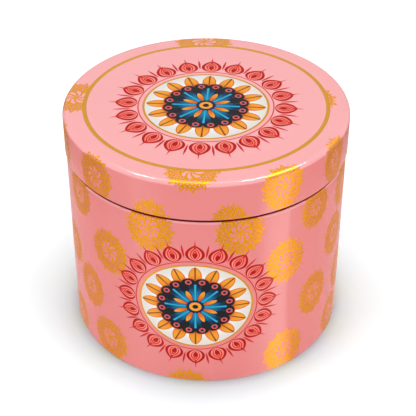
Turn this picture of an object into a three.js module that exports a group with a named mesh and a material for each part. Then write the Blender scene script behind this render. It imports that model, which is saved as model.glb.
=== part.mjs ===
// A round tinplate tin with a flush slip-over lid and an airtight plug under the lid.
// Millimetres, +Z up. The origin is the centre of the base, on the surface that the tin stands on.
// Every piece is turned about the Z axis. Sheet pieces are drawn as the middle line of the sheet.
import * as THREE from "three";

// Overall sizes
const lidRadius = 55; // outside of the lid's skirt
const totalHeight = 94;
const lidHeight = 15.8; // lower edge of the skirt to the top
const seamGap = 1.1; // visible line between the lid and the shoulder
const wallSetback = 0.4; // the wall lies this far inside the lid's skirt

// Sheet metal
const sheet = 0.3; // thickness of the tinplate
const foldGap = 0.3; // air left inside a folded hem
const lidEdgeRadius = 1.9; // outside radius at the lid's top edge
const lidHemHeight = 3;
const shoulderRadius = 0.7;
const footRadius = 0.8;
const footWidth = 2.4; // across the folded foot that the tin stands on
const footHemHeight = 2.6;

// Neck collar
const rimDrop = 2.2; // lid's outside top to the collar's rim
const rimHemHeight = 5;
const neckDepth = 15; // how far the collar reaches down inside the wall
const lockBeadDrop = 2.6; // shoulder to the middle of the bead that locks the collar
const lockBeadHeight = 1.6;
const flareHeight = 1;

// Base
const baseRise = 3.6; // recess of the base panel above the foot
const baseBendRadius = 0.9;
const baseBeadRadius = 40; // middle of the pressed ring in the panel
const baseBeadWidth = 5;
const baseBeadRise = 0.8;
const compoundThickness = 0.4;
const compoundWidth = 0.9;

// Plug and seal ring
const plugWall = 1.6; // moulded thickness
const plugDepth = 8; // flange to the lower edge of the plug
const plugChamfer = 1.6;
const plugRibRadius = 26; // stiffening ring under the panel
const plugRibHeight = 2.4;
const ringHeight = 4.2;
const ringBody = 0.7; // thickness of the ring behind its lips
const lipCount = 2;
const lipRoot = 1.1; // height of a lip where it leaves the ring

// Clearances
const slipClearance = 0.35; // lid's hem round the collar
const plugClearance = 0.35; // plug's flange inside the lid
const pressGap = 0.15; // between pieces that are pressed or clinched together
const lipClearance = 0.1; // seal lips to the mouth
const ringClearance = 0.25; // seal ring round the bottom of its groove

const segments = 48;
const arcSteps = 2; // an arc has twice this many chords
const joinLimit = 1e-6; // points nearer than this are one point

// Places that several pieces share
const half = sheet / 2;
const foldRadius = (foldGap + sheet) / 2; // middle line of a folded hem
const foldWidth = foldGap + 2 * sheet;
const wallRadius = lidRadius - wallSetback;
const wallInside = wallRadius - sheet;
const lidInside = lidRadius - sheet;
const lidUnderside = totalHeight - sheet;
const lidBottom = totalHeight - lidHeight;
const shoulderTop = lidBottom - seamGap;
const collarRadius = lidRadius - foldWidth - slipClearance;
const mouthRadius = collarRadius - foldWidth;
const rimTop = totalHeight - rimDrop;
const footInside = wallRadius - footWidth;
const flangeMiddle = (footInside + sheet + wallInside) / 2; // base's flange, midway in the folded foot

// Closed outline of a sheet of the given thickness round a middle line, with mitred bends.
function thickened(points, thickness) {
  const line = points.filter((point, i) => !i || point.distanceTo(points[i - 1]) > joinLimit);
  const side = (sign) =>
    line.map((point, i) => {
      const before = line[Math.max(i - 1, 0)];
      const after = line[Math.min(i + 1, line.length - 1)];
      const first = point.clone().sub(i ? before : point).normalize();
      const second = after.clone().sub(i < line.length - 1 ? point : after).normalize();
      if (!i) first.copy(second);
      if (i === line.length - 1) second.copy(first);
      const along = first.clone().add(second).normalize();
      const miter = (thickness / 2) / along.dot(first);
      return new THREE.Vector2(point.x - sign * along.y * miter, point.y + sign * along.x * miter);
    });
  return [...side(1), ...side(-1).reverse()];
}

// A piece turned about Z from an outline that lists radius and height.
// An outline that meets the axis stays open there, and any other closes on itself.
function turned(name, outline, material) {
  const area = THREE.ShapeUtils.area(outline);
  const points = area > 0 ? outline.slice() : outline.slice().reverse();
  const onAxis = points.filter((point) => point.x < joinLimit).length;
  if (onAxis) {
    while (points[0].x > joinLimit || points[points.length - 1].x > joinLimit) points.push(points.shift());
  } else {
    points.push(points[0].clone());
  }
  const geometry = new THREE.LatheGeometry(points, segments).rotateX(Math.PI / 2);
  const mesh = new THREE.Mesh(geometry, material);
  mesh.name = name;
  return mesh;
}

const turnedSheet = (name, path, material) =>
  turned(name, thickened(path.getPoints(arcSteps), sheet), material);

// Finishes
const printed = new THREE.MeshStandardMaterial({ color: 0xef9a98, roughness: 0.3, metalness: 0.1 });
const plainTin = new THREE.MeshStandardMaterial({ color: 0xc9c9c6, roughness: 0.3, metalness: 0.9 });
const moulded = new THREE.MeshStandardMaterial({ color: 0xf2efe8, roughness: 0.5, metalness: 0 });
const silicone = new THREE.MeshStandardMaterial({ color: 0xe8e6e0, roughness: 0.6, metalness: 0 });
const rubber = new THREE.MeshStandardMaterial({ color: 0xb9b2a4, roughness: 0.8, metalness: 0 });

// Outer wall: the foot is folded in and up round the base, and the top is rolled in to a shoulder.
function bodyShell() {
  const middle = wallRadius - half;
  const foot = footRadius - half;
  const bend = shoulderRadius - half;
  const path = new THREE.Path();
  path.moveTo(footInside + half, footHemHeight);
  path.lineTo(footInside + half, foot + half);
  path.absarc(footInside + half + foot, foot + half, foot, Math.PI, 1.5 * Math.PI, false);
  path.lineTo(middle - foot, half);
  path.absarc(middle - foot, foot + half, foot, 1.5 * Math.PI, 2 * Math.PI, false);
  path.lineTo(middle, shoulderTop - shoulderRadius);
  path.absarc(middle - bend, shoulderTop - shoulderRadius, bend, 0, Math.PI / 2, false);
  return turnedSheet("body_shell", path, printed);
}

// Inner collar that the lid slides over: a flared foot, a locking bead under the shoulder and a hemmed rim.
function neckCollar() {
  const middle = collarRadius - half;
  const swell = wallInside - pressGap - half; // where the bead and the flare meet the wall
  const beadMiddle = shoulderTop - lockBeadDrop;
  const beadReach = lockBeadHeight / 2;
  const bottom = shoulderTop - neckDepth;
  const path = new THREE.Path();
  path.moveTo(swell, bottom);
  path.lineTo(middle, bottom + flareHeight);
  path.lineTo(middle, beadMiddle - beadReach);
  path.lineTo(swell, beadMiddle - beadReach / 3);
  path.lineTo(swell, beadMiddle + beadReach / 3);
  path.lineTo(middle, beadMiddle + beadReach);
  path.lineTo(middle, rimTop - half - foldRadius);
  path.absarc(middle - foldRadius, rimTop - half - foldRadius, foldRadius, 0, Math.PI, false);
  path.lineTo(middle - 2 * foldRadius, rimTop - rimHemHeight);
  return turnedSheet("neck_collar", path, plainTin);
}

// Base panel with a pressed ring, and a flange that stands in the wall's folded foot.
function baseEnd() {
  const flange = flangeMiddle;
  const panel = baseRise + half;
  const bead = baseBeadWidth / 2;
  const path = new THREE.Path();
  path.moveTo(0, panel);
  path.lineTo(baseBeadRadius - bead, panel);
  path.lineTo(baseBeadRadius - bead / 2, panel + baseBeadRise);
  path.lineTo(baseBeadRadius + bead / 2, panel + baseBeadRise);
  path.lineTo(baseBeadRadius + bead, panel);
  path.lineTo(flange - baseBendRadius, panel);
  path.absarc(flange - baseBendRadius, panel - baseBendRadius, baseBendRadius, Math.PI / 2, 0, true);
  path.lineTo(flange, sheet + 2 * pressGap + compoundThickness);
  return turnedSheet("base_end", path, plainTin);
}

// Sealing compound in the fold, under the edge of the base's flange.
function baseSeal() {
  const low = sheet + pressGap;
  const inside = flangeMiddle - compoundWidth / 2;
  const outside = flangeMiddle + compoundWidth / 2;
  const outline = [
    new THREE.Vector2(inside, low),
    new THREE.Vector2(outside, low),
    new THREE.Vector2(outside, low + compoundThickness),
    new THREE.Vector2(inside, low + compoundThickness),
  ];
  return turned("base_seal", outline, rubber);
}

// Lid drawn from one sheet: flat top, rounded edge, straight skirt and a hem folded inwards.
function lidShell() {
  const middle = lidRadius - half;
  const bend = lidEdgeRadius - half;
  const top = totalHeight - half;
  const fold = lidBottom + half + foldRadius;
  const path = new THREE.Path();
  path.moveTo(0, top);
  path.lineTo(middle - bend, top);
  path.absarc(middle - bend, top - bend, bend, Math.PI / 2, 0, true);
  path.lineTo(middle, fold);
  path.absarc(middle - foldRadius, fold, foldRadius, 0, -Math.PI, true);
  path.lineTo(middle - 2 * foldRadius, lidBottom + lidHemHeight);
  return turnedSheet("lid_shell", path, printed);
}

// Places on the plug, from the lid above it and the mouth round it
const plugTop = lidUnderside - pressGap;
const flangeBottom = plugTop - plugWall;
const flangeRadius = lidInside - plugClearance;
const lipRadius = mouthRadius - lipClearance;
const ringTop = flangeBottom - pressGap;
const ringBottom = ringTop - ringHeight;
const ringInside = lipRadius - 2 * ringBody;
const grooveRadius = ringInside - ringClearance;

// Moulded plug: a flange under the lid, a wall with a groove for the ring, and a stiffening ring beneath.
function sealPlug() {
  const keeper = ringInside + ringBody; // flange below the groove that keeps the ring on
  const keeperTop = ringBottom - pressGap;
  const bottom = flangeBottom - plugDepth;
  const inside = grooveRadius - plugWall;
  const rib = plugRibRadius + plugWall / 2;
  const corners = [
    [0, plugTop],
    [flangeRadius - plugChamfer, plugTop],
    [flangeRadius, plugTop - plugChamfer],
    [flangeRadius, flangeBottom],
    [grooveRadius, flangeBottom],
    [grooveRadius, keeperTop],
    [keeper, keeperTop],
    [keeper, keeperTop - plugWall / 2],
    [grooveRadius, bottom],
    [inside, bottom],
    [inside, flangeBottom],
    [rib, flangeBottom],
    [rib, flangeBottom - plugRibHeight],
    [rib - plugWall, flangeBottom - plugRibHeight],
    [rib - plugWall, flangeBottom],
    [0, flangeBottom],
  ];
  const outline = corners.map(([radius, height]) => new THREE.Vector2(radius, height));
  return turned("seal_plug", outline, moulded);
}

// Silicone ring in the plug's groove, with tapered lips that wipe the mouth.
function sealRing() {
  const pitch = ringHeight / lipCount;
  const back = ringInside + ringBody;
  const outline = [new THREE.Vector2(ringInside, ringBottom), new THREE.Vector2(back, ringBottom)];
  for (let i = 0; i < lipCount; i++) {
    const middle = ringBottom + (i + 0.5) * pitch;
    outline.push(
      new THREE.Vector2(back, middle - lipRoot / 2),
      new THREE.Vector2(lipRadius, middle + lipRoot / 6),
      new THREE.Vector2(lipRadius, middle + lipRoot / 2),
      new THREE.Vector2(back, middle + lipRoot / 2),
    );
  }
  outline.push(new THREE.Vector2(back, ringTop), new THREE.Vector2(ringInside, ringTop));
  return turned("seal_ring", outline, silicone);
}

const tin = new THREE.Group();
tin.add(bodyShell(), neckCollar(), baseEnd(), baseSeal());
tin.add(lidShell(), sealPlug(), sealRing());

export default tin;
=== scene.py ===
import math

import bmesh
import bpy
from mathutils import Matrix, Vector


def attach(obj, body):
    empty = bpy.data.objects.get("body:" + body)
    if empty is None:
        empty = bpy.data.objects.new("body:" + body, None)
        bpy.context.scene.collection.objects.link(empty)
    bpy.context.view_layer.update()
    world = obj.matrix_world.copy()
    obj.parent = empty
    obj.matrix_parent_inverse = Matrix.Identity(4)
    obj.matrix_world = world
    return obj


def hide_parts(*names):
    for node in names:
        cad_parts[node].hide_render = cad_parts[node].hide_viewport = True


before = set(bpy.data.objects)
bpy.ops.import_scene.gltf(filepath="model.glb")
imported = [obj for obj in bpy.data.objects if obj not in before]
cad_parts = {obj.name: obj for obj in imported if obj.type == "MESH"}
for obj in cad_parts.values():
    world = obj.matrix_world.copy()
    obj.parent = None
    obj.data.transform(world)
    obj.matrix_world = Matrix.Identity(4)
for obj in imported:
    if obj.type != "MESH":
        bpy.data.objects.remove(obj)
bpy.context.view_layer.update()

MM = 0.001
TAU = 2 * math.pi

# Sizes of the tin in millimetres, as in the solids
LID_R = 55.0
HEIGHT = 94.0
LID_H = 15.8
SEAM_GAP = 1.1
WALL_SETBACK = 0.4
SHEET = 0.3
FOLD_GAP = 0.3
LID_EDGE_R = 1.9
LID_HEM = 3.0
SHOULDER_R = 0.7
FOOT_R = 0.8
FOOT_W = 2.4
FOOT_HEM = 2.6
RIM_DROP = 2.2
RIM_HEM = 5.0
NECK_DEPTH = 15.0
BEAD_DROP = 2.6
BEAD_H = 1.6
FLARE_H = 1.0
BASE_RISE = 3.6
BASE_BEND = 0.9
BASE_BEAD_R = 40.0
BASE_BEAD_W = 5.0
BASE_BEAD_RISE = 0.8
COMPOUND_T = 0.4
COMPOUND_W = 0.9
PLUG_WALL = 1.6
PLUG_DEPTH = 8.0
PLUG_CHAMFER = 1.6
PLUG_RIB_R = 26.0
PLUG_RIB_H = 2.4
RING_H = 4.2
RING_BODY = 0.7
LIPS = 2
LIP_ROOT = 1.1
SLIP = 0.35
PLUG_GAP = 0.35
PRESS = 0.15
LIP_GAP = 0.1
RING_GAP = 0.25

HALF = SHEET / 2
FOLD_R = (FOLD_GAP + SHEET) / 2
FOLD_W = FOLD_GAP + 2 * SHEET
WALL_R = LID_R - WALL_SETBACK
LID_BOTTOM = HEIGHT - LID_H
SHOULDER_TOP = LID_BOTTOM - SEAM_GAP
COLLAR_R = LID_R - FOLD_W - SLIP
MOUTH_R = COLLAR_R - FOLD_W
RIM_TOP = HEIGHT - RIM_DROP
FOOT_IN = WALL_R - FOOT_W
FLANGE_MID = (FOOT_IN + SHEET + WALL_R - SHEET) / 2

PLUG_TOP = HEIGHT - SHEET - PRESS
FLANGE_BOTTOM = PLUG_TOP - PLUG_WALL
FLANGE_R = LID_R - SHEET - PLUG_GAP
LIP_R = MOUTH_R - LIP_GAP
RING_TOP = FLANGE_BOTTOM - PRESS
RING_BOTTOM = RING_TOP - RING_H
RING_IN = LIP_R - 2 * RING_BODY
GROOVE_R = RING_IN - RING_GAP

# Meshes
AROUND = 192  # faces round the tin
WALL_STRIPS = 12  # faces up the straight wall
LID_PANEL_RINGS = (8, 16, 24, 32, 40, 47)  # radii in millimetres
SAME_PLACE = 1e-5  # millimetres within which two points are one
SHARP_ANGLE = 40.0  # degrees from which the edge between two faces is sharp

# Places on the flat map of the printed pieces: rows for half turns, middle and radius for discs
MAP_EDGE = 0.01
WALL_ROWS = ((0.01, 0.455), (0.465, 0.91))
SKIRT_ROWS = ((0.01, 0.115), (0.125, 0.23))
INSIDE_ROWS = ((0.92, 0.94), (0.945, 0.965))
EDGE_ROWS = (((0.97, 0.975), (0.977, 0.982)), ((0.984, 0.988), (0.99, 0.995)))
TOP_DISC = ((0.335, 0.575), 0.328)
TOP_INSIDE_DISC = ((0.835, 0.45), 0.15)


# Turned meshes
def arc(cx, cz, radius, start, end, steps=8):
    """Points on an arc, angles in degrees."""
    out = []
    for i in range(steps + 1):
        a = math.radians(start + (end - start) * i / steps)
        out.append((cx + radius * math.cos(a), cz + radius * math.sin(a)))
    return out


def without_doubles(points):
    out = [points[0]]
    for point in points[1:]:
        if math.dist(point, out[-1]) > SAME_PLACE:
            out.append(point)
    return out


def offset_side(line, reach):
    """The line moved sideways by reach, to the left of its direction, with mitred bends."""
    out = []
    last = len(line) - 1
    for i, (x, z) in enumerate(line):
        before = Vector(line[i]) - Vector(line[i - 1]) if i else None
        after = Vector(line[i + 1]) - Vector(line[i]) if i < last else None
        first = (before or after).normalized()
        second = (after or before).normalized()
        along = (first + second).normalized()
        miter = reach / along.dot(first)
        out.append((x - along.y * miter, z + along.x * miter))
    return out


# Places of the faces on the flat map, k faces round from the front and a share along
def halves(rows):
    """A band round the tin laid as two half turns, the front one in the first row."""

    def place(k, side, share):
        half, column = divmod((k + AROUND // 4) % AROUND, AROUND // 2)
        low, high = rows[half]
        u = MAP_EDGE + (1 - 2 * MAP_EDGE) * (column + side) / (AROUND // 2)
        return u, low + (high - low) * share

    return place


def disc(middle, size):
    """A round top laid flat."""

    def place(k, side, share):
        a = TAU * (k + side) / AROUND
        return middle[0] + size * share * math.sin(a), middle[1] - size * share * math.cos(a)

    return place


def laid(points, parts):
    """For each strip between the points, its place function and its start and end by length."""
    out = []
    first = 0
    for count, place in parts:
        lengths = [math.dist(points[first + i], points[first + i + 1]) for i in range(count)]
        run = 0.0
        for length in lengths:
            out.append((place, run / sum(lengths), (run + length) / sum(lengths)))
            run += length
        first += count
    return out


def turned(name, outline, materials, kinds=None, layout=None):
    """A mesh turned about Z from a closed outline of (radius, height) in millimetres.
    kinds gives the material of the strip that follows each point, layout its place on the map."""
    count = len(outline)
    kinds = kinds or [0] * count
    mesh = bpy.data.meshes.new(name)
    bm = bmesh.new()
    flat = bm.loops.layers.uv.new("OFBake") if layout else None
    rings = []
    for radius, height in outline:
        if radius < SAME_PLACE:
            rings.append([bm.verts.new((0, 0, height * MM))])
            continue
        ring = []
        for k in range(AROUND):
            a = TAU * k / AROUND
            ring.append(bm.verts.new((radius * math.sin(a) * MM, -radius * math.cos(a) * MM, height * MM)))
        rings.append(ring)
    for i in range(count):
        low, high = rings[i], rings[(i + 1) % count]
        if len(low) == 1 and len(high) == 1:
            continue
        for k in range(AROUND):
            n = (k + 1) % AROUND
            if len(low) == 1:
                corners = [(low[0], 0.5, 0), (high[n], 1, 1), (high[k], 0, 1)]
            elif len(high) == 1:
                corners = [(low[k], 0, 0), (low[n], 1, 0), (high[0], 0.5, 1)]
            else:
                corners = [(low[k], 0, 0), (low[n], 1, 0), (high[n], 1, 1), (high[k], 0, 1)]
            face = bm.faces.new([corner[0] for corner in corners])
            face.material_index = kinds[i]
            face.smooth = True
            if layout:
                place, *ends = layout[i]
                for loop, (_, side, end) in zip(face.loops, corners):
                    loop[flat].uv = place(k, side, ends[end])
    bmesh.ops.recalc_face_normals(bm, faces=bm.faces)
    bm.to_mesh(mesh)
    bm.free()
    mesh.set_sharp_from_angle(angle=math.radians(SHARP_ANGLE))
    piece = bpy.data.objects.new(name, mesh)
    bpy.context.scene.collection.objects.link(piece)
    for material in materials:
        mesh.materials.append(material)
    return piece


def turned_sheet(name, line, materials, outside, maps=None):
    """A sheet-metal piece from its middle line. outside is 1 where the face side is left of the line.
    maps gives the parts on the flat map of its left side and of its right side."""
    line = without_doubles(line)
    left = offset_side(line, HALF)
    right = offset_side(line, -HALF)
    outline = left + right[::-1]
    face, back = (0, 1) if outside > 0 else (1, 0)
    kinds = [face] * (len(left) - 1) + [0] + [back] * (len(right) - 1) + [0]
    layout = None
    if maps:
        on_left, on_right = maps(len(line) - 1)
        far_edge, near_edge = [halves(rows) for rows in EDGE_ROWS]
        layout = laid(left, on_left) + [(far_edge, 0, 1)]
        layout += [(place, end, start) for place, start, end in laid(right, on_right)[::-1]]
        layout += [(near_edge, 0, 1)]
    return turned(name, outline, materials, kinds, layout)


# Shader graphs written as sums
class Graph:
    """Makes nodes in one tree and wires them."""

    def __init__(self, tree):
        self.tree = tree

    def node(self, kind, **settings):
        made = self.tree.nodes.new(kind)
        for key, value in settings.items():
            setattr(made, key, value)
        return made

    def put(self, socket, value):
        if isinstance(value, Num):
            value = value.socket
        if isinstance(value, bpy.types.NodeSocket):
            self.tree.links.new(value, socket)
        else:
            socket.default_value = value

    def math(self, operation, *values):
        made = self.node("ShaderNodeMath", operation=operation)
        for i, value in enumerate(values):
            self.put(made.inputs[i], value)
        return Num(self, made.outputs[0])

    def step(self, value, low, high):
        """0 below low, 1 above high and smooth between."""
        made = self.node("ShaderNodeMapRange", interpolation_type="SMOOTHSTEP")
        self.put(made.inputs["Value"], value)
        self.put(made.inputs["From Min"], low)
        self.put(made.inputs["From Max"], high)
        return Num(self, made.outputs["Result"])

    def band(self, value, low, high, soft):
        """1 between low and high, with soft ends inside them."""
        return self.step(value, low, low + soft) * self.step(value, high, high - soft)

    def mix(self, factor, a, b):
        """Colours a to b by factor."""
        made = self.node("ShaderNodeMix", data_type="RGBA")
        self.put(made.inputs["Factor"], factor)
        self.put(made.inputs[6], a)
        self.put(made.inputs[7], b)
        return made.outputs[2]

    def between(self, factor, a, b):
        """Numbers a to b by factor."""
        made = self.node("ShaderNodeMix", data_type="FLOAT")
        self.put(made.inputs["Factor"], factor)
        self.put(made.inputs[2], a)
        self.put(made.inputs[3], b)
        return Num(self, made.outputs[0])

    def noise(self, scale, detail=2.0, rough=0.5, stretch=None):
        made = self.node("ShaderNodeTexNoise")
        made.inputs["Scale"].default_value = scale
        made.inputs["Detail"].default_value = detail
        made.inputs["Roughness"].default_value = rough
        source = self.node("ShaderNodeTexCoord").outputs["Object"]
        if stretch:
            mapping = self.node("ShaderNodeMapping")
            mapping.inputs["Scale"].default_value = stretch
            self.put(mapping.inputs["Vector"], source)
            source = mapping.outputs["Vector"]
        self.put(made.inputs["Vector"], source)
        return Num(self, made.outputs[0])


class Num:
    """A number in a shader graph."""

    def __init__(self, graph, socket):
        self.graph = graph
        self.socket = socket

    def __add__(self, other):
        return self.graph.math("ADD", self, other)

    def __sub__(self, other):
        return self.graph.math("SUBTRACT", self, other)

    def __mul__(self, other):
        return self.graph.math("MULTIPLY", self, other)

    def __truediv__(self, other):
        return self.graph.math("DIVIDE", self, other)

    def __rsub__(self, other):
        return self.graph.math("SUBTRACT", other, self)

    def __rtruediv__(self, other):
        return self.graph.math("DIVIDE", other, self)

    __radd__ = __add__
    __rmul__ = __mul__

    def absolute(self):
        return self.graph.math("ABSOLUTE", self)

    def fraction(self):
        return self.graph.math("FRACT", self)

    def floor(self):
        return self.graph.math("FLOOR", self)

    def root(self):
        return self.graph.math("SQRT", self)

    def low(self, other):
        return self.graph.math("MINIMUM", self, other)

    def high(self, other):
        return self.graph.math("MAXIMUM", self, other)

    def under(self, other):
        return self.graph.math("LESS_THAN", self, other)

    def over(self, other):
        return self.graph.math("GREATER_THAN", self, other)

    def power(self, other):
        return self.graph.math("POWER", self, other)


def srgb(red, green, blue):
    """A colour written as 0 to 255, as the shader takes it."""
    out = []
    for value in (red, green, blue):
        c = value / 255
        out.append(c / 12.92 if c <= 0.04045 else ((c + 0.055) / 1.055) ** 2.4)
    return (*out, 1.0)


def group(name, inputs, outputs):
    """An empty node group with number inputs; outputs are pairs of name and socket type."""
    tree = bpy.data.node_groups.new(name, "ShaderNodeTree")
    for text in inputs:
        tree.interface.new_socket(text, in_out="INPUT", socket_type="NodeSocketFloat")
    for text, kind in outputs:
        tree.interface.new_socket(text, in_out="OUTPUT", socket_type=kind)
    graph = Graph(tree)
    enter = graph.node("NodeGroupInput")
    leave = graph.node("NodeGroupOutput")
    return graph, [Num(graph, s) for s in enter.outputs[: len(inputs)]], leave


def use_group(graph, tree, *values):
    made = graph.node("ShaderNodeGroup", node_tree=tree)
    for socket, value in zip(made.inputs, values):
        graph.put(socket, value)
    return made.outputs


def distance(x, y):
    return (x * x + y * y).root()


def polar(graph, x, y):
    return distance(x, y), graph.math("ARCTAN2", y, x)


def repeat(angle, count, shift=0.0):
    """Place inside one of count equal sectors, from -0.5 to 0.5 with 0 in its middle."""
    return (angle * (count / TAU) + (0.5 + shift)).fraction() - 0.5


# Gold lace round, outer radius 1
LACE_SOFT = 0.006
LACE_POINTS = 13
POINT_FOOT = 0.80  # radius that the points stand on
TALL_POINT = (0.66, 0.21)  # share of half a sector that it spans, and its height
SHORT_POINT = (0.42, 0.14)
OPENING = (0.28, 0.085)  # the open triangle in a tall point
OPENING_FOOT = 0.82
OPENING_START = (0.825, 0.835)
LOOP_RING = 0.84  # radius that the loops between the points lie on
LOOP = 0.018
NET = (0.455, 0.79)  # radii between which it is a net of small holes
NET_ROWS = 4
NET_HOLES = 28
NET_HOLE = (0.022, 0.034)  # radii from a hole's middle where gold starts and is full
PINWHEEL_PETALS = 8
PINWHEEL_BEND = 1.9
PINWHEEL = (0.05, 0.36)  # radius of the foot of a petal, and its length
PINWHEEL_WIDTH = 0.42
PINWHEEL_SWELL = (0.5, 7.0)  # powers that shape its foot and its tip
PINWHEEL_SOFT = 0.03
OUTLINE = 0.5  # lace value up to which the gold is dark


def make_lace():
    graph, (x, y), leave = group("gold_lace", ["x", "y"], [("Gold", "NodeSocketFloat")])
    r, angle = polar(graph, x, y)

    def point(place, span, height, foot):
        """Radius of a pointed outline with its tip at place 0."""
        return (1 - place / span).high(0) * height + foot

    # points with an open triangle in the tall ones and loops between them
    place = repeat(angle, LACE_POINTS).absolute() * 2
    tall = point(place, *TALL_POINT, POINT_FOOT)
    short = point(1 - place, *SHORT_POINT, POINT_FOOT)
    gold = graph.step(tall.high(short) - r, 0.0, LACE_SOFT)
    opening = graph.step(point(place, *OPENING, OPENING_FOOT) - r, 0.0, LACE_SOFT)
    gold = gold * (1 - opening * graph.step(r, *OPENING_START))
    across = repeat(angle, LACE_POINTS, 0.5) * (TAU / LACE_POINTS) * r
    gold = gold * graph.step(distance(across, r - LOOP_RING), LOOP, LOOP + 2 * LACE_SOFT)

    # net
    near, far = NET
    row = (r - near) * (NET_ROWS / (far - near))
    which = row.floor()
    sector = (angle * (NET_HOLES / TAU) + which * 0.5).fraction() - 0.5
    across = sector * (TAU / NET_HOLES) * r
    along = (row - which - 0.5) * ((far - near) / NET_ROWS)
    net = graph.step(distance(across, along), *NET_HOLE)
    gold = gold * graph.between(r.over(near) * r.under(far), 1.0, net)

    # pinwheel of bent petals
    aside = repeat(angle + r * PINWHEEL_BEND, PINWHEEL_PETALS).absolute()
    q = ((r - PINWHEEL[0]) / PINWHEEL[1]).high(0).low(1)
    width = q.power(PINWHEEL_SWELL[0]) * (1 - q.power(PINWHEEL_SWELL[1])).high(0).root() * PINWHEEL_WIDTH
    gold = gold * (1 - graph.step(width - aside, 0.0, PINWHEEL_SOFT))
    graph.put(leave.inputs[0], gold)
    return graph.tree


# Inks
WHITE = srgb(248, 244, 238)
PAPER = srgb(226, 222, 216)
BROWN = srgb(122, 52, 20)
SKY = srgb(40, 178, 214)
ROSE = srgb(242, 120, 106)
AMBER = srgb(243, 160, 44)
ORANGE = srgb(214, 96, 26)
TEAL = srgb(0, 140, 186)
NAVY = srgb(8, 36, 76)
GREEN = srgb(18, 88, 66)
DARK = srgb(22, 24, 30)
CORAL = srgb(222, 92, 88)
CRIMSON = srgb(206, 26, 18)
DARK_RED = srgb(180, 2, 2)
SALMON = srgb(248, 150, 138)
OCHRE = srgb(221, 151, 4)
# Dark red painted on the wall's turned-in top edge so the seam between lid and body looks darker: painted
# shade.
SEAM_SHADE_RED = srgb(180, 36, 34)

# Floral medallion on a white disc of radius 1
INK_SOFT = 0.012
RIM_SOFT = 0.006
PAPER_SHADE = (0.6, 0.97)
PETAL_SWELL = (0.6, 0.75)  # powers that shape the foot and the tip of a petal
FLAMES = (16, 0.0, 0.46, 0.95, 1.05)  # count, turn in sectors, near and far radius, width
FLAME_SHADE = (0.1, 0.75)
FLAME_VEIN = (0.015, 0.06)
FLAME_LINE = 0.05
FIELD_R = 0.63
SCALLOPS = 16
SCALLOP = 0.075
FIELD_VEIN = (0.03, 0.10)
FIELD_SHADE = (0.40, 0.60)
FIELD_LINE = (0.015, 0.03)
BEAD_RING = 0.595
BEAD_SOFT = 0.008
BEADS = ((0.052, CORAL), (0.026, NAVY))  # radius and ink
BLUES = (8, 0.0, 0.12, 0.55, 1.10)
BLUE_SHADE = (0.15, 0.9)
BLUE_VEIN = (0.02, 0.07)
BLUE_LINE = 0.05
GOLDS = (8, 0.5, 0.10, 0.42, 0.70)
GOLD_SHADE = (0.2, 0.9)
GOLD_LINE = 0.06
MIDDLES = ((0.15, NAVY), (0.10, AMBER), (0.045, DARK))  # radius and ink
MIDDLE_SOFT = 0.01
GOLD_RIM = (0.966, 1.006)

# Ring of pointed red petals round it, with a fine tip on each and slim leaves between
RING_START = 1.03
RING_PETALS = 20
RING_PETAL = (1.09, 0.36)  # radius of the foot, and length
RING_WIDTH = 1.10
RING_SWELL = (0.55, 0.85)
RING_SHADE = (0.1, 0.7)
RING_OUTLINE = (0.145, 0.125)
NESTED_LINES = (0.21, 0.31)  # depths inside a petal
NESTED_W = 0.065
NESTED_SOFT = 0.015
BUD = (0.36, 0.22)  # place along a petal, and half its length
BUD_WIDTH = 0.13
BUD_SOFT = 0.15
TIP = (1.36, 1.60)  # radii
TIP_SLOPE = 0.22
LEAF = (1.16, 0.34)
LEAF_WIDTH = 0.20
LEAF_SWELL = (0.9, 1.1)
LEAF_SOFT = 0.01
RING_SOFT = 0.015
BASE_LINE = (1.060, 1.084)


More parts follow.
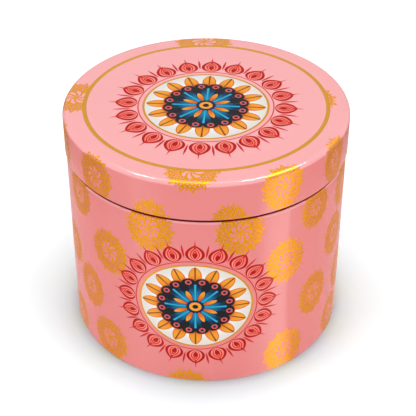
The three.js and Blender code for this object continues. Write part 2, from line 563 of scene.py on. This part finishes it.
def make_medallion():
    outputs = [
        ("Color", "NodeSocketColor"),
        ("Cover", "NodeSocketFloat"),
        ("Gold", "NodeSocketFloat"),
    ]
    graph, (x, y), leave = group("rosette", ["x", "y"], outputs)
    r, angle = polar(graph, x, y)

    def petals(count, turn, near, far, wide):
        """Depth inside a ring of pointed petals, place along each from 0 to 1, and place aside."""
        aside = repeat(angle, count, turn).absolute()
        q = ((r - near) / (far - near)).high(0).low(1)
        width = q.power(PETAL_SWELL[0]) * (1 - q).power(PETAL_SWELL[1]) * wide
        return width - aside, q, aside

    def paint(colour, depth, fill, line, thick):
        inner = graph.step(depth, thick, thick + 2 * INK_SOFT)
        return graph.mix(graph.step(depth, 0.0, INK_SOFT), colour, graph.mix(inner, line, fill))

    colour = graph.mix(graph.step(r, *PAPER_SHADE), WHITE, PAPER)

    # flame petals round a dark scalloped field
    depth, q, aside = petals(*FLAMES)
    fill = graph.mix(graph.step(q, *FLAME_SHADE), ORANGE, AMBER)
    fill = graph.mix(graph.step(aside, *FLAME_VEIN), BROWN, fill)
    colour = paint(colour, depth, fill, ORANGE, FLAME_LINE)
    sector = repeat(angle, SCALLOPS, 0.5)
    aside = sector.absolute()
    depth = (1 - aside * aside * 4).high(0).root() * SCALLOP + FIELD_R - r
    field = graph.mix(graph.step(aside, *FIELD_VEIN), GREEN, DARK)
    field = graph.mix(graph.step(r, *FIELD_SHADE), field, DARK)
    field = graph.mix(graph.step(depth, *FIELD_LINE), ORANGE, field)
    colour = graph.mix(graph.step(depth, 0.0, INK_SOFT), colour, field)

    # beads on the field
    bead = distance(sector * (TAU / SCALLOPS) * r, r - BEAD_RING)
    for size, ink in BEADS:
        colour = graph.mix(graph.step(bead, size, size + BEAD_SOFT), ink, colour)

    # blue petals and a small middle flower
    depth, q, aside = petals(*BLUES)
    fill = graph.mix(graph.step(q, *BLUE_SHADE), TEAL, NAVY)
    fill = graph.mix(graph.step(aside, *BLUE_VEIN), SKY, fill)
    colour = paint(colour, depth, fill, NAVY, BLUE_LINE)
    depth, q, aside = petals(*GOLDS)
    fill = graph.mix(graph.step(q, *GOLD_SHADE), ORANGE, AMBER)
    colour = paint(colour, depth, fill, NAVY, GOLD_LINE)
    for size, ink in MIDDLES:
        colour = graph.mix(graph.step(r, size, size + MIDDLE_SOFT), ink, colour)

    # red petals drawn in nested lines
    sector = repeat(angle, RING_PETALS).absolute()
    q = ((r - RING_PETAL[0]) / RING_PETAL[1]).high(0).low(1)
    inset = q.power(RING_SWELL[0]) * (1 - q).power(RING_SWELL[1]) * RING_WIDTH - sector
    red = graph.mix(graph.step(q, *RING_SHADE), SALMON, ROSE)
    for depth in NESTED_LINES:
        red = graph.mix(graph.band(inset, depth, depth + NESTED_W, NESTED_SOFT), red, CRIMSON)
    bud = 1 - sector / BUD_WIDTH - (q - BUD[0]).absolute() / BUD[1]
    red = graph.mix(graph.step(bud, 0.0, BUD_SOFT), red, DARK_RED)
    red = graph.mix(graph.step(inset, *RING_OUTLINE), red, DARK_RED)

    # fine tips and slim leaves
    tip = ((TIP[1] - r) * TIP_SLOPE - sector).low(r - TIP[0])
    q = ((r - LEAF[0]) / LEAF[1]).high(0).low(1)
    leaf = q.power(LEAF_SWELL[0]) * (1 - q).power(LEAF_SWELL[1]) * LEAF_WIDTH - (0.5 - sector)
    red = graph.mix(graph.step(leaf.high(tip), 0.0, LEAF_SOFT), red, CRIMSON)
    drawn = graph.step(inset.high(leaf).high(tip), 0.0, RING_SOFT)
    base_line = graph.band(r, *BASE_LINE, RIM_SOFT)
    outside = r.over(RING_START)
    colour = graph.mix(outside, colour, graph.mix(base_line, red, CRIMSON))
    inside = graph.step(r, GOLD_RIM[1], GOLD_RIM[1] - RIM_SOFT)
    graph.put(leave.inputs[0], colour)
    graph.put(leave.inputs[1], graph.between(outside, inside, drawn.high(base_line)))
    graph.put(leave.inputs[2], graph.band(r, *GOLD_RIM, RIM_SOFT))
    return graph.tree


LACE = make_lace()
ROSETTE = make_medallion()


def new_material(name):
    material = bpy.data.materials.new(name)
    material.use_nodes = True
    tree = material.node_tree
    tree.nodes.clear()
    graph = Graph(tree)
    shader = graph.node("ShaderNodeBsdfPrincipled")
    out = graph.node("ShaderNodeOutputMaterial")
    tree.links.new(shader.outputs[0], out.inputs["Surface"])
    return material, graph, shader


def millimetres(graph):
    """Place on the piece in millimetres."""
    place = graph.node("ShaderNodeTexCoord").outputs["Object"]
    split = graph.node("ShaderNodeSeparateXYZ")
    graph.put(split.inputs[0], place)
    return [Num(graph, s) / MM for s in split.outputs]


def raise_surface(graph, shader, height, strength, depth):
    """Bump by height, with its full depth in metres."""
    bump = graph.node("ShaderNodeBump")
    bump.inputs["Strength"].default_value = strength
    bump.inputs["Distance"].default_value = depth
    graph.put(bump.inputs["Height"], height)
    graph.put(shader.inputs["Normal"], bump.outputs["Normal"])


# Printed finish: inks, foil and the clear lacquer over them; grain is in waves to the metre
PINK_INKS = (srgb(230, 132, 130), srgb(233, 135, 133))
# A paler pink painted where more light falls: painted light, not a separate ink.
PAINTED_LIGHT_INKS = (srgb(248, 172, 173), srgb(250, 175, 176))
INK_GRAIN = 60
GOLD_DARK = srgb(170, 76, 0)
GOLD_LIGHT = srgb(238, 158, 6)
FOIL_GRAIN = 2200
FOIL_TONE = (-0.1, 0.62)  # grain values between which dark gold turns light
FOIL_EDGE = 0.05  # lace value where the gold starts
FOIL_METAL = 0.56
RIM_METAL = 0.5  # of the foil's
FOIL_ROUGH = (0.14, 0.33)  # spread and least
INK_ROUGH = (0.03, 0.25)
ROUGH_GRAIN = 240
PINK_LACQUER = 0.8
FOIL_LACQUER = 0.15
INK_LACQUER = 0.3
LACQUER_IOR = 1.45
LACQUER_ROUGH = 0.08
UNDER_LACQUER = 0.05  # specular level of the inks
PRINT_BUMP = (0.2, 0.00003)
PRINT_GRAIN = 1400
PRINT_RELIEF = 0.4


def finish_print(graph, shader, gold, colour, cover, rim, painted_light):
    """Pink lacquer with flat inks and metallic gold on it. Its last argument marks where the pink is
    painted a tint lighter, as painted light.
    """
    tone = graph.noise(INK_GRAIN, detail=3.0)
    pink = graph.mix(painted_light, graph.mix(tone, *PINK_INKS), graph.mix(tone, *PAINTED_LIGHT_INKS))
    fine = graph.noise(FOIL_GRAIN)
    bright = graph.step(gold, OUTLINE, 1.0) * graph.step(fine, *FOIL_TONE)
    gold = graph.step(gold, FOIL_EDGE, OUTLINE)
    ink = graph.mix(gold, pink, graph.mix(bright, GOLD_DARK, GOLD_LIGHT))
    ink = graph.mix(cover, ink, colour)
    ink = graph.mix(rim, ink, OCHRE)
    foil = gold * (1 - cover)
    graph.put(shader.inputs["Base Color"], ink)
    graph.put(shader.inputs["Metallic"], foil.high(rim * RIM_METAL) * FOIL_METAL)
    ink_rough = graph.noise(ROUGH_GRAIN, detail=3.0) * INK_ROUGH[0] + INK_ROUGH[1]
    foil_rough = fine * FOIL_ROUGH[0] + FOIL_ROUGH[1]
    graph.put(shader.inputs["Roughness"], graph.between(foil, ink_rough, foil_rough))
    shader.inputs["Specular IOR Level"].default_value = UNDER_LACQUER
    lacquer = graph.between(foil, PINK_LACQUER, FOIL_LACQUER)
    graph.put(shader.inputs["Coat Weight"], graph.between(cover, lacquer, INK_LACQUER))
    shader.inputs["Coat IOR"].default_value = LACQUER_IOR
    shader.inputs["Coat Roughness"].default_value = LACQUER_ROUGH
    relief = foil + foil * graph.noise(PRINT_GRAIN) * PRINT_RELIEF
    raise_surface(graph, shader, relief, *PRINT_BUMP)


def nearest(graph, places):
    """Of places given as pairs of numbers, the pair nearest to its own middle."""
    best_u, best_v = places[0]
    best = best_u * best_u + best_v * best_v
    for u, v in places[1:]:
        apart = u * u + v * v
        nearer = apart.under(best)
        best_u = graph.between(nearer, best_u, u)
        best_v = graph.between(nearer, best_v, v)
        best = best.low(apart)
    return best_u, best_v


# Print on the wall: gold lace at these bearings from the front and heights, with its radius
# across and along
WALL_LACE = [
    (-17.9, 71.5, 10.1, 10.6),
    (17.2, 71.5, 9.8, 10.6),
    (52.1, 71.1, 8.4, 9.6),
    (75.5, 69.0, 8.5, 10.5),
    (-56.3, 70.9, 8.8, 10.4),
    (-84.0, 70.0, 9.5, 10.5),
    (-37.5, 53.4, 9.7, 10.8),
    (37.1, 53.4, 9.4, 10.8),
    (69.0, 49.6, 8.7, 10.6),
    (-67.0, 41.5, 8.7, 10.0),
    (-51.2, 29.6, 8.8, 10.9),
    (53.8, 29.6, 9.1, 10.9),
    (78.5, 26.5, 8.7, 10.5),
    (-84.0, 26.0, 9.5, 10.5),
    (-40.0, 9.0, 10.0, 10.7),
    (38.1, 8.4, 9.9, 11.0),
    (71.0, 7.7, 8.7, 10.5),
    (-65.5, 6.5, 8.7, 10.2),
    (-3.6, -4.2, 10.0, 11.0),
]
BACK_STEP = 33.0  # bearing between two on the back, where they stand in even rows
BACK_REACH = 90.0  # bearing from the back up to which the rows go
BACK_ROWS = ((28.5, 0.0), (8.0, 0.5))  # height of the lowest and share of a step aside
BACK_RISE = 42.0
BACK_LACE = (9.6, 10.8)
OUT_OF_REACH = 33.0  # lace radii by which a round that isn't drawn is put aside
WALL_MEDALLION_Z = 38.2
WALL_MEDALLION = (21.9, 19.8)
# Depths below the wall's top between which its painted highlight (paler pink on the rounded shoulder) and
# its painted seam shade (dark red on the turned-in edge) come in
SHOULDER_HIGHLIGHT = (1.1, 0.2)
SEAM_SHADE_DEPTHS = (0.12, 0.04)


def wall_print():
    material, graph, shader = new_material("wall_print")
    x, y, z = millimetres(graph)
    around = graph.math("ARCTAN2", x, y * -1.0) * WALL_R
    behind = graph.math("ARCTAN2", x, y) * WALL_R
    places = []
    for bearing, height, across, along in WALL_LACE:
        places.append(((around - math.radians(bearing) * WALL_R) / across, (z - height) / along))
    step = math.radians(BACK_STEP) * WALL_R
    for height, aside in BACK_ROWS:
        u = ((behind / step + (0.5 + aside)).fraction() - 0.5) * step
        v = (((z - height) / BACK_RISE + 0.5).fraction() - 0.5) * BACK_RISE
        in_front = (behind - u).absolute().over(math.radians(BACK_REACH) * WALL_R)
        places.append((u / BACK_LACE[0] + in_front * OUT_OF_REACH, v / BACK_LACE[1]))
    gold = Num(graph, use_group(graph, LACE, *nearest(graph, places))[0])
    across, along = WALL_MEDALLION
    inks, cover, rim = use_group(graph, ROSETTE, around / across, (z - WALL_MEDALLION_Z) / along)
    # Painted highlight: the rounded shoulder under the seam is painted the paler pink.
    shoulder_highlight = graph.step(z, *[SHOULDER_TOP - depth for depth in SHOULDER_HIGHLIGHT])
    # Painted seam shade: the turned-in top edge is painted dark red, over the gold as well.
    seam_shade = graph.step(z, *[SHOULDER_TOP - depth for depth in SEAM_SHADE_DEPTHS])
    colour = graph.mix(seam_shade, inks, SEAM_SHADE_RED)
    cover = Num(graph, cover).high(seam_shade)
    finish_print(graph, shader, gold, colour, cover, Num(graph, rim), shoulder_highlight)
    return material


# Print on the lid: lace at these bearings from the front and distances from the middle over the
# edge, with its radius across and along
LID_LACE = [
    (-1.7, 47.0, 10.2, 12.4),
    (-42.8, 64.0, 10.8, 11.0),
    (34.2, 61.2, 10.4, 11.0),
    (63.3, 62.3, 9.0, 11.0),
    (-90.5, 50.5, 11.6, 11.0),
    (97.8, 39.0, 11.7, 11.7),
    (-174.6, 50.5, 12.4, 11.5),
    (-143.0, 66.5, 10.8, 11.0),
    (126.0, 66.5, 10.8, 11.0),
    (156.0, 66.5, 10.8, 11.0),
    (-117.0, 66.5, 10.8, 11.0),
    (-70.5, 65.0, 9.4, 11.0),
]
# those cut by the lid's lower edge
LID_LACE += [(bearing, 74.2, 10.5, 11.0) for bearing in (-17.0, 13.1, 85.0, 111.0, -96.0, -166.0)]
STRIPE = (45.8, 47.35)
LID_MEDALLION_Y = -1.8
LID_MEDALLION_R = 24.2
LEAST_RADIUS = 0.001


def lid_print():
    material, graph, shader = new_material("lid_print")
    x, y, z = millimetres(graph)
    radius = distance(x, y).high(LEAST_RADIUS)
    over = radius + (HEIGHT - z)
    flat_x = x / radius * over
    flat_y = y / radius * over
    places = []
    for bearing, reach, across, along in LID_LACE:
        a = math.radians(bearing)
        u = (flat_x * math.cos(a) + flat_y * math.sin(a)) / across
        v = (flat_x * math.sin(a) - flat_y * math.cos(a) - reach) / along
        places.append((u, v))
    gold = Num(graph, use_group(graph, LACE, *nearest(graph, places))[0]) * over.over(STRIPE[1])
    stripe = over.over(STRIPE[0]) * over.under(STRIPE[1])
    across, along = x / LID_MEDALLION_R, (y - LID_MEDALLION_Y) / LID_MEDALLION_R
    inks, cover, rim = use_group(graph, ROSETTE, across, along)
    # Painted light: the lid's top and the upper half of its rounded edge are painted a paler pink for the
    # light from above.
    painted_light = graph.step(z, HEIGHT - LID_EDGE_R, HEIGHT - LID_EDGE_R / 2)
    finish_print(graph, shader, gold, inks, Num(graph, cover), Num(graph, rim).high(stripe), painted_light)
    return material


# Plain finishes; grain is in waves to the metre
ROLL_GRAIN = 40
ROLL_STRETCH = (1, 1, 30)
TIN_CLOUDS = 25
TIN_SPREAD = 14  # levels between the light and dark clouds
TIN_ROUGH = 0.16
TIN_BUMP = (0.12, 0.00005)
MOULD_CLOUDS = 30
MOULD_ROUGH = 0.12
MOULD_GLOW_DEPTH = 0.001
MOULD_BUMP = (0.15, 0.00004)


def tinplate(name, tint, rough):
    material, graph, shader = new_material(name)
    rolled = graph.noise(ROLL_GRAIN, detail=4.0, rough=0.6, stretch=ROLL_STRETCH)
    dark = srgb(*[level - TIN_SPREAD for level in tint])
    clouds = graph.noise(TIN_CLOUDS, detail=3.0)
    graph.put(shader.inputs["Base Color"], graph.mix(clouds, dark, srgb(*tint)))
    shader.inputs["Metallic"].default_value = 1.0
    graph.put(shader.inputs["Roughness"], rolled * TIN_ROUGH + rough)
    raise_surface(graph, shader, rolled, *TIN_BUMP)
    return material


def moulded(name, light, dark, rough, subsurface, grain):
    material, graph, shader = new_material(name)
    clouds = graph.noise(MOULD_CLOUDS, detail=3.0)
    graph.put(shader.inputs["Base Color"], graph.mix(clouds, dark, light))
    fine = graph.noise(grain, detail=3.0)
    graph.put(shader.inputs["Roughness"], fine * MOULD_ROUGH + rough)
    shader.inputs["Subsurface Weight"].default_value = subsurface
    shader.inputs["Subsurface Scale"].default_value = MOULD_GLOW_DEPTH
    raise_surface(graph, shader, fine, *MOULD_BUMP)
    return material


WALL_PRINT = wall_print()
LID_PRINT = lid_print()
TIN = tinplate("bright_tinplate", (206, 206, 203), rough=0.2)
# The collar's rose lacquer is made dark so that the seam between lid and body shows as a dark line: partly
# its own colour, partly painted shade.
DARK_NECK_SHADE = tinplate("rose_lacquer_seam_shade", (118, 38, 30), rough=0.42)
TIN_INSIDE = tinplate("lacquered_tinplate", (208, 203, 190), rough=0.26)
PLUG = moulded("moulded_plug", srgb(242, 239, 232), srgb(232, 228, 219), 0.38, 0.1, 500)
SILICONE = moulded("clear_silicone", srgb(232, 231, 227), srgb(218, 217, 213), 0.3, 0.3, 300)
COMPOUND = moulded("seam_compound", srgb(190, 182, 166), srgb(172, 164, 148), 0.65, 0.0, 700)


# Pieces
def body_shell():
    middle = WALL_R - HALF
    foot = FOOT_R - HALF
    bend = SHOULDER_R - HALF
    line = [(FOOT_IN + HALF, FOOT_HEM)]
    line += arc(FOOT_IN + HALF + foot, foot + HALF, foot, 180, 270)
    line += arc(middle - foot, foot + HALF, foot, 270, 360)
    low, high = foot + HALF, SHOULDER_TOP - SHOULDER_R
    line += [(middle, low + (high - low) * i / WALL_STRIPS) for i in range(1, WALL_STRIPS)]
    line += arc(middle - bend, high, bend, 0, 90)

    def maps(strips):
        return [(strips, halves(INSIDE_ROWS))], [(strips, halves(WALL_ROWS))]

    return turned_sheet("tin_body_wall", line, [WALL_PRINT, TIN_INSIDE], -1, maps)


def neck_collar():
    middle = COLLAR_R - HALF
    swell = WALL_R - SHEET - PRESS - HALF
    bead = SHOULDER_TOP - BEAD_DROP
    reach = BEAD_H / 2
    bottom = SHOULDER_TOP - NECK_DEPTH
    line = [(swell, bottom), (middle, bottom + FLARE_H), (middle, bead - reach)]
    line += [(swell, bead - reach / 3), (swell, bead + reach / 3), (middle, bead + reach)]
    line += arc(middle - FOLD_R, RIM_TOP - HALF - FOLD_R, FOLD_R, 0, 180)
    line += [(middle - 2 * FOLD_R, RIM_TOP - RIM_HEM)]
    return turned_sheet("tin_neck_collar", line, [DARK_NECK_SHADE, DARK_NECK_SHADE], -1)


def base_end():
    panel = BASE_RISE + HALF
    bead = BASE_BEAD_W / 2
    line = [(0, panel), (BASE_BEAD_R - bead, panel)]
    line += [(BASE_BEAD_R - bead / 2, panel + BASE_BEAD_RISE)]
    line += [(BASE_BEAD_R + bead / 2, panel + BASE_BEAD_RISE), (BASE_BEAD_R + bead, panel)]
    line += arc(FLANGE_MID - BASE_BEND, panel - BASE_BEND, BASE_BEND, 90, 0)
    line += [(FLANGE_MID, SHEET + 2 * PRESS + COMPOUND_T)]
    return turned_sheet("tin_base_end", line, [TIN, TIN], 1)


def base_seal():
    low = SHEET + PRESS
    inside = FLANGE_MID - COMPOUND_W / 2
    outside = FLANGE_MID + COMPOUND_W / 2
    outline = [(inside, low), (outside, low), (outside, low + COMPOUND_T), (inside, low + COMPOUND_T)]
    return turned("tin_base_seal", outline, [COMPOUND])


def lid_shell():
    middle = LID_R - HALF
    bend = LID_EDGE_R - HALF
    top = HEIGHT - HALF
    fold = LID_BOTTOM + HALF + FOLD_R
    line = [(0, top)] + [(radius, top) for radius in LID_PANEL_RINGS]
    line += arc(middle - bend, top - bend, bend, 90, 0, steps=10)
    panel = len(line) - 1
    line += arc(middle - FOLD_R, fold, FOLD_R, 0, -180)
    line += [(middle - 2 * FOLD_R, LID_BOTTOM + LID_HEM)]

    def maps(strips):
        printed = [(panel, disc(*TOP_DISC)), (strips - panel, halves(SKIRT_ROWS))]
        inside = [(panel, disc(*TOP_INSIDE_DISC)), (strips - panel, halves(INSIDE_ROWS))]
        return printed, inside

    return turned_sheet("lid_drawn_shell", line, [LID_PRINT, TIN_INSIDE], 1, maps)


def seal_plug():
    keeper = RING_IN + RING_BODY
    keeper_top = RING_BOTTOM - PRESS
    bottom = FLANGE_BOTTOM - PLUG_DEPTH
    inside = GROOVE_R - PLUG_WALL
    rib = PLUG_RIB_R + PLUG_WALL / 2
    outline = [(0, PLUG_TOP), (FLANGE_R - PLUG_CHAMFER, PLUG_TOP), (FLANGE_R, PLUG_TOP - PLUG_CHAMFER)]
    outline += [(FLANGE_R, FLANGE_BOTTOM), (GROOVE_R, FLANGE_BOTTOM), (GROOVE_R, keeper_top)]
    outline += [(keeper, keeper_top), (keeper, keeper_top - PLUG_WALL / 2), (GROOVE_R, bottom)]
    outline += [(inside, bottom), (inside, FLANGE_BOTTOM), (rib, FLANGE_BOTTOM)]
    outline += [(rib, FLANGE_BOTTOM - PLUG_RIB_H), (rib - PLUG_WALL, FLANGE_BOTTOM - PLUG_RIB_H)]
    outline += [(rib - PLUG_WALL, FLANGE_BOTTOM), (0, FLANGE_BOTTOM)]
    return turned("lid_seal_plug", outline, [PLUG])


def seal_ring():
    pitch = RING_H / LIPS
    back = RING_IN + RING_BODY
    outline = [(RING_IN, RING_BOTTOM), (back, RING_BOTTOM)]
    for i in range(LIPS):
        middle = RING_BOTTOM + (i + 0.5) * pitch
        outline += [(back, middle - LIP_ROOT / 2), (LIP_R, middle + LIP_ROOT / 6)]
        outline += [(LIP_R, middle + LIP_ROOT / 2), (back, middle + LIP_ROOT / 2)]
    outline += [(back, RING_TOP), (RING_IN, RING_TOP)]
    return turned("lid_seal_ring", outline, [SILICONE])


PIECES = [
    (body_shell, "body_shell", "tin", "printed_tinplate"),
    (neck_collar, "neck_collar", "tin", "plain_tinplate"),
    (base_end, "base_end", "tin", "plain_tinplate"),
    (base_seal, "base_seal", "tin", "seam_compound"),
    (lid_shell, "lid_shell", "lid", "printed_tinplate"),
    (seal_plug, "seal_plug", "lid", "moulded_plug"),
    (seal_ring, "seal_ring", "seal", "silicone"),
]
for make, node, body, finish in PIECES:
    piece = make()
    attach(piece, body)
    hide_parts(node)


def aim(thing, target):
    thing.rotation_euler = (Vector(target) - thing.location).to_track_quat("-Z", "Y").to_euler()


# Camera at the photograph's angle, in degrees and metres, with its lens and shift in pixels
CAMERA_BEARING = 4.3
CAMERA_RISE = 35.41
CAMERA_AWAY = 0.4699
CAMERA_TARGET = (0, 0, 0.047)
CAMERA_NEAR = 0.01
IMAGE_W = 416
FOCAL_LENGTH = 1155.4
SHIFT = (1.69, -5.08)
SENSOR_MM = 36
camera = bpy.data.objects.new("camera", bpy.data.cameras.new("camera"))
bpy.context.scene.collection.objects.link(camera)
bearing, rise = math.radians(CAMERA_BEARING), math.radians(CAMERA_RISE)
camera.location = Vector(CAMERA_TARGET) + CAMERA_AWAY * Vector(
    (math.sin(bearing) * math.cos(rise), -math.cos(bearing) * math.cos(rise), math.sin(rise))
)
aim(camera, CAMERA_TARGET)
camera.data.sensor_width = SENSOR_MM
camera.data.lens = SENSOR_MM * FOCAL_LENGTH / IMAGE_W
camera.data.shift_x = SHIFT[0] / IMAGE_W
camera.data.shift_y = SHIFT[1] / IMAGE_W
camera.data.clip_start = CAMERA_NEAR
bpy.context.scene.camera = camera

# Soft studio light: place and size of each lamp in metres, and its watts
LIT_POINT = (0, 0, 0.05)
OVERHEAD = ("overhead", (0.0, 0.1, 0.9), (1.0, 0.6), 4.5)
# broad lamps that reflections do not show
BROAD_LAMPS = [
    ("front_light", (0.05, -1.0, 0.75), (0.8, 0.5), 1.6),
    ("fill_left", (-0.9, -0.55, 0.42), (0.7, 0.5), 4.2),
    ("fill_right", (0.9, -0.55, 0.42), (0.7, 0.5), 4.2),
]
# narrow lamps that only glints show, with a turn in degrees about their own axis
GLINT_LAMPS = [
    (("glint_left", (-0.42, -0.09, 0.95), (0.2, 0.12), 4.5), 30),
    (("glint_right", (0.42, 0.04, 0.95), (0.56, 0.12), 12.5), -40),
]


def softbox(name, place, size, watts):
    data = bpy.data.lights.new(name, "AREA")
    data.shape = "RECTANGLE"
    data.size, data.size_y = size
    data.energy = watts
    lamp = bpy.data.objects.new(name, data)
    bpy.context.scene.collection.objects.link(lamp)
    lamp.location = place
    aim(lamp, LIT_POINT)
    return lamp


softbox(*OVERHEAD)
for lamp in BROAD_LAMPS:
    softbox(*lamp).visible_glossy = False
for lamp, turn in GLINT_LAMPS:
    glint = softbox(*lamp)
    glint.rotation_euler.rotate_axis("Z", math.radians(turn))
    glint.visible_diffuse = False

# The room: dim for lighting, white where it is looked at and pale where it is reflected
ROOM_LIGHT = 0.3
ROOM_SEEN = 1.0
ROOM_MIRRORED = 0.6
world = bpy.data.worlds.new("studio")
bpy.context.scene.world = world
world.use_nodes = True
world.node_tree.nodes.clear()
room = Graph(world.node_tree)
background = room.node("ShaderNodeBackground")
background.inputs["Color"].default_value = (1, 1, 1, 1)
rays = room.node("ShaderNodeLightPath").outputs
mirrored = Num(room, rays["Is Glossy Ray"]).high(Num(room, rays["Is Transmission Ray"]))
strength = room.between(mirrored, ROOM_LIGHT, ROOM_MIRRORED)
strength = room.between(Num(room, rays["Is Camera Ray"]), strength, ROOM_SEEN)
room.put(background.inputs["Strength"], strength)
world_out = room.node("ShaderNodeOutputWorld")
world.node_tree.links.new(background.outputs[0], world_out.inputs["Surface"])

# Pale floor that keeps the shadow, with a painted contact shadow round the foot, in millimetres but for
# its own half width in metres.
# Reflections see it as a glow, grey in front and a dim pink at the sides, with two brighter glowing cards
# on it: painted reflections that are no lamps.
FLOOR_HALF_W = 3.0
FLOOR_SEEN = 1.32  # share of light that the camera sees it return
FLOOR_BOUNCE = 1.0  # and that the tin gets back from it
FAR_FLOOR = (250.0, 700.0)  # distances over which it turns plain white to the camera
CARD = (24.0, 35.5)  # bearings on the wall, from the camera's, between which the card is mirrored
CARD_SOFT = (14.0, 4.0)
CARD_LIGHT = 2.6
LEFT_CARD = (-31.0, -20.0)
LEFT_CARD_SOFT = (12.0, 12.0)
LEFT_CARD_LIGHT = 0.9
FRONT = (-42.0, 42.0)  # bearings between which the grey front is mirrored
FRONT_SOFT = (25.0, 25.0)
FLOOR_FRONT = (0.8, 0.8, 0.8, 1.0)
FLOOR_SIDES = (0.80, 0.52, 0.49, 1.0)
FLOOR_DIM = (0.45, 0.26, 0.23, 1.0)  # farther out at the sides
DIM_REACH = (70.0, 120.0)
PINK_GLOW = (0.235, 0.085, 0.045)  # taken off beside the tin, which throws its pink on the floor
GLOW_REACH = 32.0
# Painted contact shadow: the floor is painted darker round the foot, as the camera sees it.
CONTACT_SHADOW = 0.4  # darkening where the foot meets the floor
CONTACT_SHADOW_REACH = 5.0


def floor_line(x, y, wall_bearing):
    """Distance from the floor line that the wall mirrors at this bearing."""
    start = math.radians(wall_bearing + CAMERA_BEARING)
    along = math.radians(2 * wall_bearing + CAMERA_BEARING)
    from_x = x - WALL_R * math.sin(start)
    from_y = y + WALL_R * math.cos(start)
    return from_x * math.cos(along) + from_y * math.sin(along)


def floor_strip(graph, x, y, bearings, softs):
    """1 on the part of the floor that the wall mirrors between two bearings."""
    first = graph.step(floor_line(x, y, bearings[0]), -softs[0], softs[0])
    return first * graph.step(floor_line(x, y, bearings[1]), softs[1], -softs[1])


def floor_paint(graph, x, y):
    """The floor's finish: what it shows to the camera and gives back as light, and what is mirrored."""
    rays = graph.node("ShaderNodeLightPath").outputs
    seen = Num(graph, rays["Is Camera Ray"])
    away = distance(x, y) - WALL_R
    share = graph.between(seen, FLOOR_BOUNCE, FLOOR_SEEN)
    near = 1 / ((away / GLOW_REACH) * (away / GLOW_REACH) + 1)
    # Painted contact shadow, only where the camera sees the floor.
    contact_shadow = 1 - seen * graph.math("EXPONENT", away.high(0) * (-1 / CONTACT_SHADOW_REACH)) * CONTACT_SHADOW
    shade = graph.node("ShaderNodeCombineColor")
    for socket, off in zip(shade.inputs, PINK_GLOW):
        graph.put(socket, share * (1 - seen * near * off) * contact_shadow)
    paint = graph.node("ShaderNodeBsdfDiffuse")
    graph.put(paint.inputs["Color"], shade.outputs[0])

    # Painted reflections: what glossy rays see of the floor is an emission, not lit paint.
    mirrored = graph.node("ShaderNodeEmission")
    sides = graph.mix(graph.step(away, *DIM_REACH), FLOOR_SIDES, FLOOR_DIM)
    front = floor_strip(graph, x, y, FRONT, FRONT_SOFT)
    graph.put(mirrored.inputs["Color"], graph.mix(front, sides, FLOOR_FRONT))
    cards = floor_strip(graph, x, y, CARD, CARD_SOFT) * CARD_LIGHT
    cards = cards + floor_strip(graph, x, y, LEFT_CARD, LEFT_CARD_SOFT) * LEFT_CARD_LIGHT
    graph.put(mirrored.inputs["Strength"], cards + 1)

    def blend(factor, first, second):
        made = graph.node("ShaderNodeMixShader")
        for socket, value in zip(made.inputs, (factor, first, second)):
            graph.put(socket, value)
        return made.outputs[0]

    white = graph.node("ShaderNodeEmission").outputs[0]
    near_floor = blend(rays["Is Glossy Ray"], paint.outputs[0], mirrored.outputs[0])
    return blend(seen * graph.step(away, *FAR_FLOOR), near_floor, white)


def pale_floor():
    w = FLOOR_HALF_W
    mesh = bpy.data.meshes.new("floor")
    mesh.from_pydata([(-w, -w, 0), (w, -w, 0), (w, w, 0), (-w, w, 0)], [], [(0, 1, 2, 3)])
    floor = bpy.data.objects.new("floor", mesh)
    bpy.context.scene.collection.objects.link(floor)
    material = bpy.data.materials.new("pale_floor")
    material.use_nodes = True
    material.node_tree.nodes.clear()
    graph = Graph(material.node_tree)
    x, y, _ = millimetres(graph)
    out = graph.node("ShaderNodeOutputMaterial")
    graph.put(out.inputs["Surface"], floor_paint(graph, x, y))
    mesh.materials.append(material)


pale_floor()
bpy.context.scene.view_settings.view_transform = "Standard"
